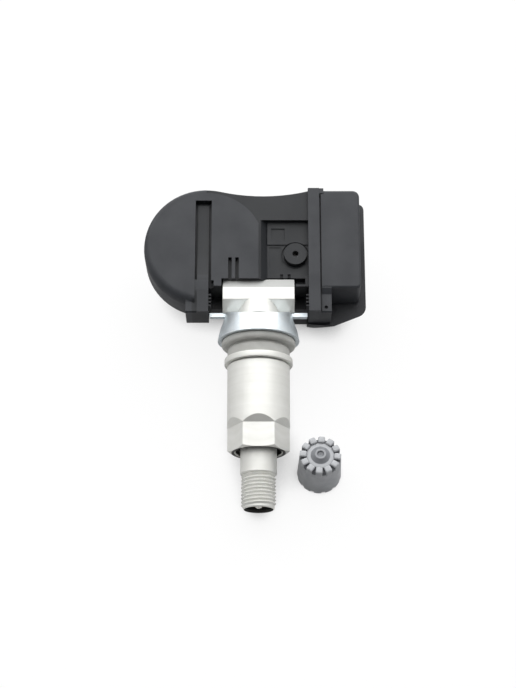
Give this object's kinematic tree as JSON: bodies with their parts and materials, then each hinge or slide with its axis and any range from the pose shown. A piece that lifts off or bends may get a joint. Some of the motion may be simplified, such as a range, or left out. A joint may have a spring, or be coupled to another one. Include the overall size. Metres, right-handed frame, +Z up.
{
  "type": "tyre pressure sensor",
  "caption": "Clamp-in tyre pressure sensor with a tilting metal valve, sleeve nut and a plastic cap standing beside it.",
  "frame": {"origin": "under the middle of the bounding box, on the table that the sensor lies on", "axes": "+Z up, +Y from the valve tip towards the back of the housing, +X to the right, over the right block"},
  "size_m": [0.0509, 0.0742, 0.024],
  "materials": {
    "housing_plastic": "fine moulded grain, satin",
    "base_plastic": "fine moulded grain, satin",
    "board": "solder resist",
    "cell_steel": "plated",
    "tab_metal": "tin plated",
    "chip": "moulded",
    "coil": "ferrite and lacquered wire",
    "filter_film": "smooth",
    "black_rubber": "moulded",
    "grey_rubber": "smooth, light grey",
    "bright_aluminium": "satin turned",
    "plated_steel": "bright zinc plated",
    "core_brass": "turned",
    "cap_plastic": "moulded, grey"
  },
  "bodies": {
    "root": {"housing": "housing_plastic", "base": "base_plastic", "circuit_board": "board", "button_cell": "cell_steel", "cell_tab_lower": "tab_metal", "cell_tab_upper": "tab_metal", "sensor_chip": "chip", "port_seal": "black_rubber", "port_filter": "filter_film", "radio_antenna": "tab_metal", "wake_coil": "coil", "valve_cap": "cap_plastic", "cap_liner": "black_rubber"},
    "valve": {"valve_stem": "bright_aluminium", "collar": "plated_steel", "grommet": "grey_rubber", "core_barrel": "core_brass", "core_seal": "filter_film", "core_spring": "plated_steel"},
    "core": {"core_pin": "core_brass", "core_plunger": "black_rubber"},
    "ring": {"washer": "bright_aluminium"},
    "nut": {"sleeve_nut": "bright_aluminium"}
  },
  "joints": [
    {"name": "valve_tilt", "type": "hinge", "parent": "root", "child": "valve", "pos_m": [0.00075, 0.01173, 0.01389], "axis": [-1, 0, 0], "range_deg": [-8, 12]},
    {"name": "pin_press", "type": "slide", "parent": "valve", "child": "core", "axis": [0, 0.9781, 0.2079], "range_m": [0, 0.0012], "stiffness_N_per_m": 800, "springref_m": -0.0005, "deforming": ["core_spring"]},
    {"name": "washer_slide", "type": "slide", "parent": "valve", "child": "ring", "axis": [0, -0.9781, -0.2079], "range_m": [0, 0.006]},
    {"name": "nut_turn", "type": "hinge", "parent": "ring", "child": "nut", "pos_m": [0.00075, -0.02348, 0.00641], "axis": [0, -0.9781, -0.2079], "range_deg": [0, 2160]}
  ],
  "couplings": [
    {"joint": "nut_turn", "follows": "washer_slide", "rad_per_m": 6283.2}
  ]
}
